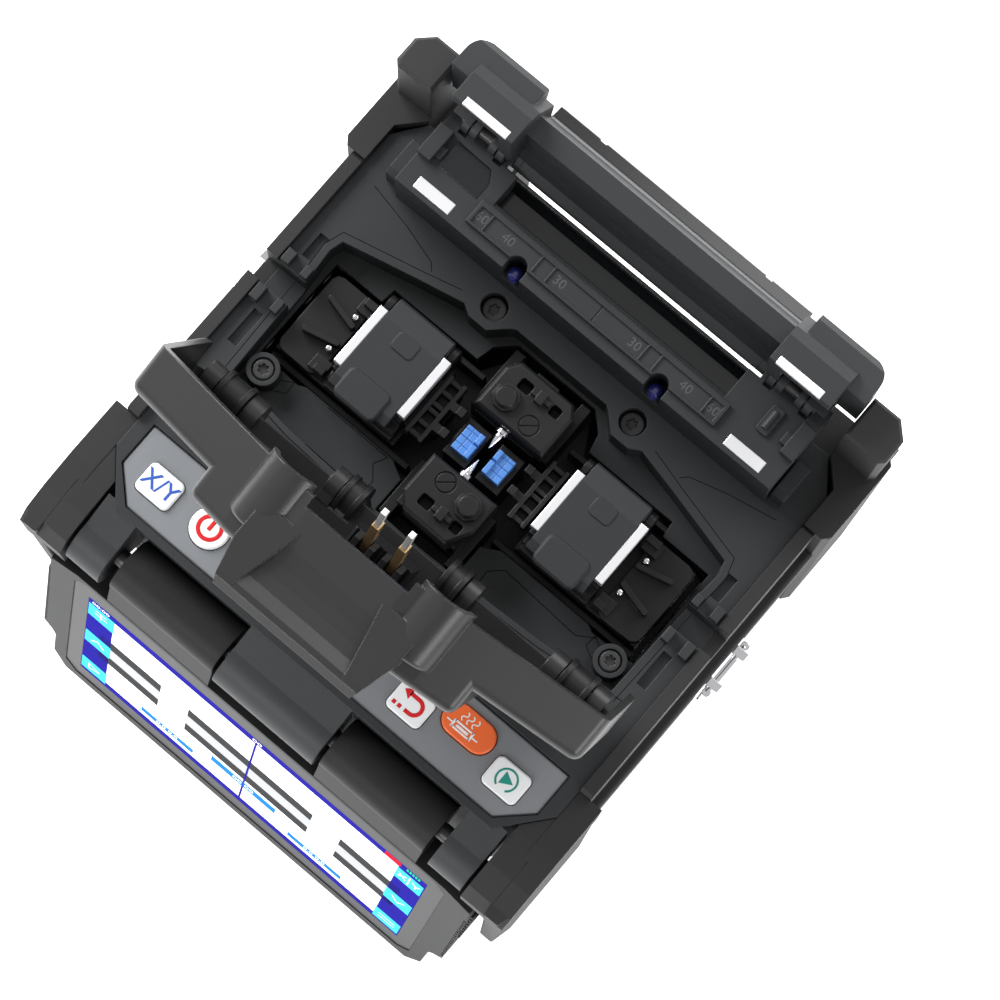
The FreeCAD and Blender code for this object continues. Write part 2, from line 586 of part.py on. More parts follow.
def presser_block():
    """The slotted guide block of both pressers, under the cover."""
    body = rounded(box(-8.5, 8.5, -19, -9.5, 9.6, 21.6 - COVER_WALL), Z, 1.0)
    slots = [box(side * 4 - 1.0, side * 4 + 1.0, -13.8, -9, 9, 16) for side in (-1, 1)]
    grooves = [box(x - 0.6, x + 0.6, -10.3, -9, 9, 19) for x in (-7, -1, 1, 7)]
    fingers = []
    for side in (-1, 1):
        for x in (1.9, 6.1):
            fingers.append(profile([(-16, 9.6), (-9.6, 9.6), (-7.2, 11.0), (-7.2, 15.5), (-16, 15.5)],
                                   side * x - 0.8, side * x + 0.8))
    return join(cut(body, *slots, *grooves), *fingers)


def hinge_drum(span):
    """A fixed drum the cover turns on, with its foot on the deck."""
    x0, x1 = span
    drum = rod(DRUM_R, (x0, COVER_HINGE_Y, COVER_HINGE_Z), X, x1 - x0)
    foot = box(x0, x1, COVER_HINGE_Y - 3.3, COVER_HINGE_Y + 3.3, DECK_TOP, COVER_HINGE_Z)
    waist = cut(rod(DRUM_R + 1, (x0 + 1.4, COVER_HINGE_Y, COVER_HINGE_Z), X, x1 - x0 - 2.8),
                rod(DRUM_R - 0.5, (x0, COVER_HINGE_Y, COVER_HINGE_Z), X, x1 - x0))
    bore = rod(COVER_PIN_R, (x0 - 1, COVER_HINGE_Y, COVER_HINGE_Z), X, x1 - x0 + 2)
    return cut(join(drum, foot), cut(waist, foot), bore)


def cover_pins():
    """Steel pins through drums and cover knuckles."""
    outer = rod(COVER_PIN_R, (43.6, COVER_HINGE_Y, COVER_HINGE_Z), X, 16.8)
    inner = rod(COVER_PIN_R, (12.6, COVER_HINGE_Y, COVER_HINGE_Z), X, 9.3)
    return both(outer) + both(inner)


# ------------------------------------------------------------------ tube heater


def heater_base():
    """The raised heater body behind the deck, with its trough bed, lamp notches and lid ears."""
    block = prism(symmetric([(0, HEATER_FRONT), (HEATER_HALF, HEATER_FRONT), (HEATER_HALF, 53), (38.6, 53),
                             (38.6, TROUGH_REAR + 1.2), (0, TROUGH_REAR + 1.2)]), DECK_TOP, HEATER_TOP)
    tail = both(box(38.6, HEATER_HALF, 52.9, 57.9, 2.5, HEATER_TOP))
    ears = []
    for x in (43.6, 49.4):
        ring = rod(2.9, (x - 1, LID_HINGE_Y, LID_HINGE_Z), X, 2)
        foot = box(x - 1, x + 1, LID_HINGE_Y - 2.7, LID_HINGE_Y + 2.7, HEATER_TOP - 1, LID_HINGE_Z)
        ears += both(join(ring, foot))
    body = join(block, *tail, *ears)
    tools = [box(-TROUGH_HALF, TROUGH_HALF, TROUGH_FRONT, TROUGH_REAR + 2, 2.5, 20)]
    tools.append(box(-30, 30, 39, 42, -5, 8))
    for side in (-1, 1):
        tools.append(box(side * 47.25 - 5.35, side * 47.25 + 5.35, 35.7, 38.8, HEATER_TOP - 1.2, 20))
        tools.append(rod(2.6, (side * 21.5, 36.6, 3.0), Z, 20))
        tools.append(box(side * 21.5 - 2.6, side * 21.5 + 2.6, 30, 36.6, 3.0, 20))
        tools.append(rod(LID_PIN_R, (side * 46.5 - 10, LID_HINGE_Y, LID_HINGE_Z), X, 20))
        for x in LID_ARMS:
            tools.append(box(side * x - 1.25, side * x + 1.25, 52.5, 60, HEATER_TOP - 1.6, 20))
    tools.append(heater_rest_plate())
    return cut(body, *tools)


def heater_trough():
    """The metal channel a sleeve shrinks in."""
    rear = TROUGH_REAR + 1.2
    return profile([(TROUGH_FRONT, 2.5), (rear, 2.5), (rear, 12.2), (rear - 0.8, 12.2), (rear - 0.9, 7.4),
                    (rear - 2.2, 5.2), (TROUGH_FRONT + 2.2, 5.2), (TROUGH_FRONT + 0.9, 7.4), (TROUGH_FRONT + 0.8, 12.2),
                    (TROUGH_FRONT, 12.2)], -TROUGH_HALF, TROUGH_HALF)


def heater_scale():
    """The raised strip with the sleeve-length windows."""
    strip = box(-37.7, 37.7, 37.2, 43.8, HEATER_TOP, HEATER_TOP + 1.2)
    tools = []
    edges = (-36.9, -33.2, -18.2, -14.2, 14.2, 18.2, 33.2, 36.9)
    for x0, x1 in zip(edges[:-1], edges[1:]):
        tools.append(box(x0 + 0.15, x1 - 0.15, 37.9, 42.4, HEATER_TOP + 0.7, 20))
    tools.append(box(-0.1, 0.1, 37.9, 42.4, HEATER_TOP + 0.4, 20))
    for side in (-1, 1):
        tools.append(rod(2.6, (side * 21.5, 36.6, 3.0), Z, 20))
    return cut(strip, *tools)


def heater_lamps():
    lamps = []
    for side in (-1, 1):
        lamp = rod(1.9, (side * 21.5, 36.4, 3.0), Z, 4.4)
        rim = [e for e in lamp.Edges if abs(e.BoundBox.ZMin - 7.4) < 1e-6]
        lamps.append(lamp.makeFillet(1.6, rim))
    return lamps


def heater_magnets():
    return both(box(41.9, 52.6, 35.7, 38.8, HEATER_TOP - 1.2, HEATER_TOP + 0.05))


def heater_rest_plate():
    """The glossy plate at the left end of the trough."""
    return prism([(-51.2, 50.9), (-51.4, 43.2), (-39.2, 43.0), (-39.2, 47.4), (-41, 50.6)], HEATER_TOP - 0.4,
                 HEATER_TOP + 0.1)


def heater_detector():
    """The little roller switch at the right end of the trough."""
    bed = rbox(45.2, 48.6, 43.2, 50.8, HEATER_TOP, HEATER_TOP + 0.9, 0.7)
    roller = rod(0.8, (46.9, 44.4, HEATER_TOP + 1.0), Y, 5.0)
    return join(bed, roller)


def heater_end_block():
    """The right stop block beside the trough end."""
    low = box(53.2, HEATER_HALF, 42.5, 51.5, HEATER_TOP, HEATER_TOP + 2.4)
    lobe = box(51.6, 53.4, 44.4, 47.6, HEATER_TOP, HEATER_TOP + 1.2)
    return join(low, lobe)


LID_MIRROR = [(54.6, 10.8), (57.2, 12.6), (58.8, 16.0), (59.5, 20.5), (59.7, 26.0)]


def heater_lid():
    """The lid in its open place: long bar, two end boxes with wings, and hinge arms."""
    bar = profile(LID_MIRROR + [(65.1, 26), (68.6, 16), (69.6, 14.6), (70.0, 8.0), (66, 6.4), (57, 7.6), (54.9, 9.4)], -38.4, 38.4)
    end = profile([(54.2, 18.2), (54.2, 33), (61.5, 33), (64.4, 31), (70, 22), (69, 14), (61.0, 9.0), (59.4, 12.5)],
                  38.4, 56.2)
    wing = profile([(60.5, 23.4), (60.5, 30.0), (69.4, 28.6), (71.2, 26.6), (70.8, 23.0), (69, 14), (61.0, 9.0)], 41, 61.8)
    wing = wing.common(rounded(box(30, 61.8, 50, 71.4, 0, 40), Z, 5.5))
    arms = [join(rod(2.9, (x - 1, LID_HINGE_Y, LID_HINGE_Z), X, 2), box(x - 1, x + 1, LID_HINGE_Y, 60.5, 12.5, 17.4))
            for x in LID_ARMS]
    body = join(bar, *both(end), *both(wing), *both(arms[0]), *both(arms[1]))
    tools = [reflector_shape(), window_shape(), *strip_shapes()]
    tools += both(rod(3.4, (42.3, LID_HINGE_Y, LID_HINGE_Z), X, 8.4))
    tools += both(box(42.3, 50.7, 52, 59.3, 10, 20))
    tools += both(box(42.4, 56.3, 53, 58.6, 17.8, 28.6))
    for x in LID_ARMS:
        tools += both(rod(LID_PIN_R + RUNNING_GAP, (x - 2, LID_HINGE_Y, LID_HINGE_Z), X, 4))
    return cut(body, *tools)


def reflector_shape():
    """The concave sheet inside the lid."""
    back = [(y + 0.7, z - 0.35) for y, z in reversed(LID_MIRROR[:-1])]
    return profile(LID_MIRROR[:-1] + back, -36.6, 36.6)


def bar_shape():
    """The glossy outer bar of the lid, with its two small steps."""
    full = profile([(69.6, 14.6), (72.9, 13.2), (73.6, 11.2), (73.0, 8.2), (70.0, 8.0)], -38.3, 38.3)
    groove = both(box(24.2, 26.2, 72.6, 75, 5, 16))
    return cut(full, *groove)


def window_shape():
    """The pale strip along the lid."""
    return profile([(68.6, 16.0), (69.6, 14.6), (68.7, 14.0), (67.7, 15.4)], -38.0, 38.0)


def strip_shapes():
    """The two steel strips that the magnets hold."""
    return both(box(40.2, 53.2, 54.1, 56.2, 32.0, 33.1))


def lid_pins():
    return both(rod(LID_PIN_R, (39.4, LID_HINGE_Y, LID_HINGE_Z), X, 14.2))


# ------------------------------------------------------------------ monitor


def monitor_place(shape):
    """From the display's own frame (origin at its top edge, face towards -y) to the machine."""
    copy = shape.copy()
    copy.rotate(vec(0, 0, 0), X, -MONITOR_LEAN_DEG)
    copy.translate(vec(0, DISPLAY_TOP_Y, DISPLAY_TOP_Z))
    return copy


def hinge_in_display():
    """The monitor hinge axis as (y, z) in the display's frame."""
    dy = MONITOR_HINGE_Y - DISPLAY_TOP_Y
    dz = MONITOR_HINGE_Z - DISPLAY_TOP_Z
    a = math.radians(MONITOR_LEAN_DEG)
    return dy * math.cos(a) - dz * math.sin(a), dy * math.sin(a) + dz * math.cos(a)


def slab(points, y0, y1):
    """An outline of (x, z) points between two y planes."""
    wire = Part.makePolygon([vec(x, y0, z) for x, z in points + points[:1]])
    return Part.Face(wire).extrude(vec(0, y1 - y0, 0))


GLASS = [(55.2, 7.7), (58.8, 4.2), (58.8, -68.4), (55.2, -72.5)]
HOUSING = [(58, 9.6), (66.4, 6.2), (66.4, 1.5), (66.9, -1.5), (66.9, -49.8), (64, -52.6), (62.8, -55), (62.8, -69.5),
           (58.5, -76.7)]


def monitor_housing():
    """The front frame of the monitor with side grips, neck and hinge barrels."""
    hy, hz = hinge_in_display()
    frame = slab(symmetric(HOUSING), -0.5, 9.0)
    barrels = []
    for side in (-1, 1):
        mid = side * 32.75
        barrels.append(rod(BARREL_R, (mid - 16.0, hy, hz), X, 32))
        neck = profile([(-0.5, 8), (hy - BARREL_R + 0.4, hz - 2), (hy, hz + 3), (hy + BARREL_R - 0.6, hz - 2), (9.0, 8)],
                       mid - 16.0, mid + 16.0)
        barrels.append(neck)
    body = join(frame, *barrels)
    tools = [slab(symmetric(GLASS), -1, 0.9)]
    tools.append(slab(symmetric([(60, 2), (60, -72)]), 2.6, 10))
    tools.append(slab(symmetric([(DISPLAY_W / 2 - 2, -2), (DISPLAY_W / 2 - 2, 2 - DISPLAY_H)]), 0, 3))
    for row in range(20):
        tools += both(box(66.1, 68, -1, 9.5, -47.0 + 2.3 * row, -46.0 + 2.3 * row))
    tools += both(rod(MONITOR_PIN_R + RUNNING_GAP, (16, hy, hz), X, 34))
    return monitor_place(cut(body, *tools))


def monitor_back():
    """The rear shell of the monitor."""
    plate = slab(symmetric([(57, 8.6), (65, 5.4), (65, -49), (61.8, -54), (61.8, -68.8), (57.8, -75.6)]), 9.0, 12.4)
    plate = cut(plate, *[slab(symmetric([(40, -20 - 4 * k), (40, -21.4 - 4 * k)]), 11.4, 13) for k in range(6)])
    return monitor_place(plate)


def monitor_bezel():
    """The dark glass surround."""
    opening = slab(symmetric([(DISPLAY_W / 2, 0), (DISPLAY_W / 2, -DISPLAY_H)]), -1, 2)
    return monitor_place(cut(slab(symmetric(GLASS), -0.3, 0.9), opening))


def display():
    """The lit panel flush in its surround, with its metal back."""
    face = slab(symmetric([(DISPLAY_W / 2, 0), (DISPLAY_W / 2, -DISPLAY_H)]), -0.25, 0.9)
    back = slab(symmetric([(DISPLAY_W / 2 - 2, -2), (DISPLAY_W / 2 - 2, 2 - DISPLAY_H)]), 0.9, 4.5)
    return monitor_place(join(face, back))


def monitor_pin():
    return rod(MONITOR_PIN_R, (-61.4, MONITOR_HINGE_Y, MONITOR_HINGE_Z), X, 122.8)


# ------------------------------------------------------------------ keypad


def key(name, x, y, half_x, half_y):
    cap = rbox(x - half_x, x + half_x, y - half_y, y + half_y, -8.6, -4.0, KEY_ROUND.get(name, 1.6))
    return soften_top(cap, 0.35)


def keypad_plate():
    plate = soften_top(prism(keypad_outline(0), DECK_TOP - 2.5, DECK_TOP - 0.5), 0.4)
    holes = []
    for name, x, y, half_x, half_y in KEYS:
        hx = half_x + KEY_GAP
        hy = half_y + KEY_GAP
        holes.append(rbox(x - hx, x + hx, y - hy, y + hy, -9, 0, KEY_ROUND.get(name, 1.6) + KEY_GAP - 0.01))
    return cut(plate, *holes)


# ------------------------------------------------------------------ inside


def main_board():
    board = box(-62, -12, -50, 44, CASE_BOTTOM + 10, CASE_BOTTOM + 11.6)
    posts = [rod(3, (x, y, CASE_BOTTOM + 3), Z, 7) for x in (-57, -17) for y in (-44, 36)]
    chips = [box(x, x + 10, y, y + 10, CASE_BOTTOM + 11.6, CASE_BOTTOM + 13.4) for x in (-52, -30) for y in (-34, -14)]
    return join(board, *posts, *chips)


def arc_transformer():
    z0 = CASE_BOTTOM + 11.6
    core = box(-58, -38, 8, 34, z0, z0 + 18)
    coil = rod(8, (-48, 11, z0 + 9), Y, 20)
    return join(core, coil, rod(8.8, (-48, 14, z0 + 9), Y, 14))


def battery():
    """The battery pack behind its door."""
    return rounded(box(12, CASE_HALF - WALL, -45, 23, CASE_BOTTOM + 6, CASE_BOTTOM + 40), X, 3)


def cameras():
    """Two microscope barrels hanging from the optics frame."""
    barrels = []
    for side in (-1, 1):
        y = side * 15.0
        barrels.append(join(rod(9, (0, y, -44), Z, 15), rod(7, (0, y, -70), Z, 26), box(-11, 11, y - 9, y + 9, -73, -70)))
    return barrels


FAN_X = 28.0
FAN_Z = -70.0


def fan_frame():
    y1 = CASE_REAR - WALL
    frame = box(FAN_X - 15, FAN_X + 15, y1 - 10, y1, FAN_Z - 15, FAN_Z + 15)
    frame = cut(frame, rod(14, (FAN_X, y1 - 11, FAN_Z), Y, 12))
    bars = [box(FAN_X - 14.5, FAN_X + 14.5, y1 - 1.4, y1, FAN_Z - 0.8, FAN_Z + 0.8),
            box(FAN_X - 0.8, FAN_X + 0.8, y1 - 1.4, y1, FAN_Z - 14.5, FAN_Z + 14.5)]
    hub = rod(5, (FAN_X, y1 - 1.8, FAN_Z), Y, 1.8)
    axle = rod(1.0, (FAN_X, y1 - 9, FAN_Z), Y, 8)
    return join(frame, *bars, hub, axle)


def fan_rotor():
    y1 = CASE_REAR - WALL
    hub = rod(5.5, (FAN_X, y1 - 9.4, FAN_Z), Y, 7.2)
    blades = []
    for k in range(7):
        blade = box(4.8, 13.4, -0.5, 0.5, -3.0, 3.0)
        blade.rotate(vec(0, 0, 0), X, 35)
        blade.rotate(vec(0, 0, 0), Y, 360 / 7 * k)
        blade.translate(vec(FAN_X, y1 - 6.0, FAN_Z))
        blades.append(blade)
    return cut(join(hub, *blades), rod(1.0 + RUNNING_GAP, (FAN_X, y1 - 9.4, FAN_Z), Y, 10))


def io_ports():
    """Power and data sockets behind their window in the rear wall."""
    y1 = CASE_REAR - WALL
    block = box(-48, -16, y1 - 9, y1, -72, -50)
    jack = rod(3.4, (-39, y1 - 7, -61), Y, 9)
    usb = [box(-32, -26.5, y1 - 7, y1 + 1, -65.5, -57.5), box(-23.5, -19.5, y1 - 7, y1 + 1, -64.5, -58.5)]
    return join(cut(block, jack, *usb), rod(0.9, (-39, y1 - 8, -61), Y, 6))


# ------------------------------------------------------------------ the machine


def main():
    put("lower_case", lower_case())
    put("base_plate", base_plate())
    put("rubber_feet", *feet())
    put("upper_deck", upper_deck())
    put("corner_bumpers", *(both(rear_bumper()) + both(front_bumper())))
    put("side_rails", *both(side_rail()))
    put("strap_lugs", *both(strap_lug()))
    put("hinge_pins", *(cover_pins() + lid_pins() + [monitor_pin()]))
    for side, place in (("right", lambda shape: shape), ("left", mirrored)):
        put("strap_ring_" + side, place(strap_ring()))
        put("sheath_stage_" + side, place(sheath_stage()))
        put("clamp_pins_" + side, *[place(pin) for pin in clamp_pins()])
        put("sheath_clamp_" + side, place(sheath_clamp()))
        put("clamp_strips_" + side, *[place(strip) for strip in clamp_strips()])
    put("bay_frame", bay_frame())
    put("v_grooves", *both(v_groove()))
    put("electrodes", electrode(1, 1.4), electrode(-1, 2.1))
    put("electrode_cover_rear", electrode_cover(REAR_COVER, REAR_KNOB, (4.2, 10.9), 17.6, 1))
    put("electrode_cover_front", electrode_cover(FRONT_COVER, FRONT_KNOB, (-1.9, -11.9), -18.4, -1))
    put("electrode_knob_rear", electrode_knob(REAR_KNOB))
    put("electrode_knob_front", electrode_knob(FRONT_KNOB))
    put("deck_screws", deck_screw(53.8, -17.75, -8.6, 2.7), deck_screw(-53.8, -17.75, -8.6, 2.7),
        deck_screw(21.45, 29.1, -9.5, 3.15), deck_screw(-21.45, 29.1, -9.5, 3.15))

    def opened(shape):
        return turned(shape, COVER_HINGE_Y, COVER_HINGE_Z, COVER_OPEN_DEG)

    put("wind_cover", opened(wind_cover()))
    put("presser_holders", *[opened(s) for s in both(presser_holder())])
    put("presser_tips", *[opened(s) for s in both(presser_tip())])
    put("presser_block", opened(presser_block()))
    put("cover_drums", *(both(hinge_drum(OUTER_DRUM)) + both(hinge_drum(INNER_DRUM))))

    put("heater_base", heater_base())
    put("heater_trough", heater_trough(), heater_rest_plate())
    put("heater_scale", heater_scale())
    put("heater_lamps", *heater_lamps())
    put("heater_plates", *heater_magnets())
    put("heater_stops", *both(heater_end_block()), heater_detector())
    put("heater_lid", heater_lid())
    put("heater_reflector", reflector_shape())
    put("heater_lid_bar", bar_shape())
    put("heater_lid_window", window_shape())
    put("heater_lid_strips", *strip_shapes())

    put("monitor_housing", monitor_housing())
    put("monitor_back", monitor_back())
    put("monitor_bezel", monitor_bezel())
    put("display", display())

    put("keypad_plate", keypad_plate())
    for item in KEYS:
        put(item[0], key(*item))

    put("main_board", main_board())
    put("arc_transformer", arc_transformer())
    put("battery", battery())
    put("battery_door", battery_door())
    put("cameras", *cameras())
    put("fan_frame", fan_frame())
    put("fan_rotor", fan_rotor())
    put("io_ports", io_ports())


main()
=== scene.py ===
import json
import math

import bmesh
import bpy
from mathutils import Matrix, Vector


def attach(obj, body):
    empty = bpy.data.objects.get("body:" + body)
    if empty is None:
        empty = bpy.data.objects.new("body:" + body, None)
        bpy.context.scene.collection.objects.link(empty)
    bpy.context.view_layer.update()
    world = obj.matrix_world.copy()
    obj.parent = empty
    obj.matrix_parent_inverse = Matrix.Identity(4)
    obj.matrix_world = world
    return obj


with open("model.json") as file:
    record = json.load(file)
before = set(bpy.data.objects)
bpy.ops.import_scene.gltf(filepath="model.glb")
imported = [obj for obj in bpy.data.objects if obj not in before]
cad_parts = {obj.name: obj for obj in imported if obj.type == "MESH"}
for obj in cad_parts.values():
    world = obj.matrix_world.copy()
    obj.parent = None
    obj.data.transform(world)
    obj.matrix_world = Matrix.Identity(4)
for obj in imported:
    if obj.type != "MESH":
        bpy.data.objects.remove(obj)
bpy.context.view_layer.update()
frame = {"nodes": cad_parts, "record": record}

bl_info = {
    "name": "Fusion splicer looks",
    "version": (1, 0, 0),
    "blender": (4, 5, 0),
    "location": "3D View > Sidebar > Splicer",
    "description": "Dresses a fibre fusion splicer: finishes, screen, key marks, scale figures and stage",
    "category": "Object",
}

MM = 0.001
SPLICE_Y = 0.01273
SPLICE_Z = 0.116

# Heights of the flat faces that carry marks, in millimetres from the splice point.
KEY_TOP = -4.0
DECK_TOP = -4.5
TRAY_FLOOR = -13.5
SCALE_WINDOW = 13.4
GLASS_FACE = 0.25

# The studio camera: its place (from the splice point, in metres) and its three axes.
CAMERA_FROM_SPLICE = Vector((0.08706, -0.12019, 0.85103))
CAMERA_RIGHT = Vector((0.76302, 0.64613, 0.01746))
CAMERA_UP = Vector((-0.64016, 0.75168, 0.15866))
CAMERA_BACK = Vector((0.08939, -0.13224, 0.98718))


# ------------------------------------------------------------------ finishes


def grain_group():
    """A shared group: fine moulded grain as a normal, and a soft mottle value around 1."""
    group = bpy.data.node_groups.get("Moulded Grain")
    if group:
        return group
    group = bpy.data.node_groups.new("Moulded Grain", "ShaderNodeTree")
    face = group.interface
    face.new_socket(name="Scale", in_out="INPUT", socket_type="NodeSocketFloat")
    face.new_socket(name="Strength", in_out="INPUT", socket_type="NodeSocketFloat")
    face.new_socket(name="Normal", in_out="OUTPUT", socket_type="NodeSocketVector")
    face.new_socket(name="Mottle", in_out="OUTPUT", socket_type="NodeSocketFloat")
    nodes, links = group.nodes, group.links
    ins = nodes.new("NodeGroupInput")
    outs = nodes.new("NodeGroupOutput")
    coord = nodes.new("ShaderNodeTexCoord")
    fine = nodes.new("ShaderNodeTexNoise")
    fine.inputs["Detail"].default_value = 2.0
    broad = nodes.new("ShaderNodeTexNoise")
    broad.inputs["Scale"].default_value = 55.0
    span = nodes.new("ShaderNodeMapRange")
    span.inputs["To Min"].default_value = 0.94
    span.inputs["To Max"].default_value = 1.06
    bump = nodes.new("ShaderNodeBump")
    bump.inputs["Distance"].default_value = 0.00012
    round_edge = nodes.new("ShaderNodeBevel")
    round_edge.samples = 6
    round_edge.inputs["Radius"].default_value = 0.0004
    links.new(coord.outputs["Object"], fine.inputs["Vector"])
    links.new(coord.outputs["Object"], broad.inputs["Vector"])
    links.new(ins.outputs["Scale"], fine.inputs["Scale"])
    links.new(ins.outputs["Strength"], bump.inputs["Strength"])
    links.new(fine.outputs["Fac"], bump.inputs["Height"])
    links.new(round_edge.outputs["Normal"], bump.inputs["Normal"])
    links.new(broad.outputs["Fac"], span.inputs["Value"])
    links.new(bump.outputs["Normal"], outs.inputs["Normal"])
    links.new(span.outputs["Result"], outs.inputs["Mottle"])
    return group


def finish(name, color, rough, metallic=0.0, grain=2500.0, strength=0.25, coat=0.0, glow=0.0, specular=0.5):
    """A Principled material with the shared grain; colour is mottled a little so that no face is flat."""
    mat = bpy.data.materials.get(name)
    if mat:
        return mat
    mat = bpy.data.materials.new(name)
    mat.use_nodes = True
    nodes, links = mat.node_tree.nodes, mat.node_tree.links
    shader = nodes["Principled BSDF"]
    group = nodes.new("ShaderNodeGroup")
    group.node_tree = grain_group()
    group.inputs["Scale"].default_value = grain
    group.inputs["Strength"].default_value = strength
    mix = nodes.new("ShaderNodeVectorMath")
    mix.operation = "SCALE"
    mix.inputs[0].default_value = color
    links.new(group.outputs["Mottle"], mix.inputs["Scale"])
    links.new(mix.outputs["Vector"], shader.inputs["Base Color"])
    links.new(group.outputs["Normal"], shader.inputs["Normal"])
    shader.inputs["Roughness"].default_value = rough
    shader.inputs["Metallic"].default_value = metallic
    shader.inputs["Coat Weight"].default_value = coat
    shader.inputs["Coat Roughness"].default_value = 0.05
    shader.inputs["Specular IOR Level"].default_value = specular
    if glow:
        shader.inputs["Emission Color"].default_value = (*color, 1)
        shader.inputs["Emission Strength"].default_value = glow
    mat.diffuse_color = (*color, 1)
    return mat


FINISHES = {
    "case": ((0.020, 0.021, 0.022), 0.55, {"specular": 0.35}),
    "deck": ((0.024, 0.026, 0.028), 0.50, {"strength": 0.35, "specular": 0.35}),
    "cover": ((0.019, 0.019, 0.019), 0.34, {"strength": 0.12, "specular": 0.5}),
    "bumper": ((0.019, 0.019, 0.019), 0.60, {"strength": 0.3, "specular": 0.35}),
    "foot": ((0.012, 0.012, 0.012), 0.8, {}),
    "frame": ((0.010, 0.010, 0.011), 0.42, {"strength": 0.2, "specular": 0.35}),
    "monitor": ((0.018, 0.018, 0.019), 0.50, {"strength": 0.3, "specular": 0.15}),
    "bezel": ((0.022, 0.022, 0.023), 0.3, {"strength": 0.02, "specular": 0.06}),
    "screen": ((0.86, 0.88, 0.95), 0.5, {"strength": 0.0, "glow": 0.8, "specular": 0.0}),
    "steel": ((0.88, 0.88, 0.90), 0.30, {"metallic": 0.45, "strength": 0.05}),
    "chrome": ((0.85, 0.85, 0.87), 0.12, {"metallic": 1.0, "strength": 0.0}),
    "brass": ((0.50, 0.33, 0.16), 0.40, {"metallic": 0.6, "strength": 0.05}),
    "ceramic": ((0.92, 0.92, 0.90), 0.3, {"strength": 0.02}),
    "blue": ((0.085, 0.25, 0.66), 0.35, {"strength": 0.05}),
    "tungsten": ((0.80, 0.80, 0.85), 0.18, {"metallic": 1.0, "strength": 0.0}),
    "screwblack": ((0.060, 0.060, 0.060), 0.38, {"metallic": 0.5, "strength": 0.05}),
    "keypad": ((0.235, 0.245, 0.26), 0.42, {"metallic": 0.3, "strength": 0.05}),
    "key_white": ((0.86, 0.87, 0.88), 0.25, {"strength": 0.02, "coat": 0.2}),
    "key_orange": ((0.87, 0.15, 0.035), 0.3, {"strength": 0.02, "coat": 0.2}),
    "trough": ((0.006, 0.007, 0.008), 0.16, {"strength": 0.03, "coat": 0.3}),
    "bar": ((0.007, 0.007, 0.007), 0.20, {"strength": 0.03}),
    "strip": ((0.13, 0.135, 0.14), 0.35, {"strength": 0.05}),
    "lamp": ((0.03, 0.035, 0.25), 0.08, {"strength": 0.0, "coat": 1.0}),
    "board": ((0.01, 0.08, 0.03), 0.4, {}),
    "pack": ((0.03, 0.04, 0.07), 0.5, {}),
    "alu": ((0.5, 0.5, 0.5), 0.35, {"metallic": 1.0}),
    "groove": ((0.005, 0.006, 0.007), 0.7, {"strength": 0.0, "specular": 0.1}),
    "ink_dark": ((0.055, 0.055, 0.058), 0.6, {"strength": 0.0, "glow": 0.4, "specular": 0.0}),
    "ink_grey": ((0.075, 0.080, 0.085), 0.5, {"strength": 0.0, "specular": 0.2}),
    "ink_field": ((0.90, 0.90, 0.92), 0.6, {"strength": 0.0, "glow": 0.7, "specular": 0.0}),
    "ink_light": ((0.50, 0.51, 0.52), 0.6, {"strength": 0.0, "glow": 0.3, "specular": 0.0}),
    "ink_navy": ((0.022, 0.018, 0.24), 0.6, {"strength": 0.0, "glow": 0.6, "specular": 0.0}),
    "ink_cyan": ((0.06, 0.50, 0.86), 0.6, {"strength": 0.0, "glow": 0.7, "specular": 0.0}),
    "ink_blue": ((0.02, 0.17, 0.86), 0.6, {"strength": 0.0, "glow": 0.7, "specular": 0.0}),
    "ink_red": ((0.70, 0.02, 0.03), 0.6, {"strength": 0.0, "glow": 0.4, "specular": 0.0}),
    "ink_green": ((0.02, 0.55, 0.18), 0.6, {"strength": 0.0, "glow": 0.7, "specular": 0.0}),
    "ink_white": ((0.9, 0.9, 0.9), 0.6, {"strength": 0.0, "glow": 0.6, "specular": 0.0}),
    "mark_blue": ((0.030, 0.10, 0.46), 0.35, {"strength": 0.0}),
    "mark_red": ((0.66, 0.012, 0.016), 0.35, {"strength": 0.0}),
    "mark_teal": ((0.012, 0.29, 0.23), 0.35, {"strength": 0.0}),
    "mark_white": ((0.9, 0.88, 0.86), 0.35, {"strength": 0.0}),
}


def paint(name):
    color, rough, extra = FINISHES[name]
    return finish("Splicer " + name, color, rough, **extra)


# ------------------------------------------------------------------ makers


def piece(name, bm, material, body):
    """Turns a finished bmesh into a piece that rides on a body."""
    bmesh.ops.recalc_face_normals(bm, faces=bm.faces)
    mesh = bpy.data.meshes.new(name)
    bm.to_mesh(mesh)
    bm.free()
    obj = bpy.data.objects.new(name, mesh)
    bpy.context.scene.collection.objects.link(obj)
    mesh.materials.append(paint(material))
    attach(obj, body)
    return obj


def add_outline(bm, points, low, high):
    """A flat outline of (x, y) points between two heights."""
    verts = [bm.verts.new((x, y, low)) for x, y in points]
    face = bm.faces.new(verts)
    grown = bmesh.ops.extrude_face_region(bm, geom=[face])
    moved = [g for g in grown["geom"] if isinstance(g, bmesh.types.BMVert)]
    bmesh.ops.translate(bm, verts=moved, vec=(0, 0, high - low))


def add_rect(bm, x0, x1, y0, y1, low, high):
    add_outline(bm, [(x0, y0), (x1, y0), (x1, y1), (x0, y1)], low, high)


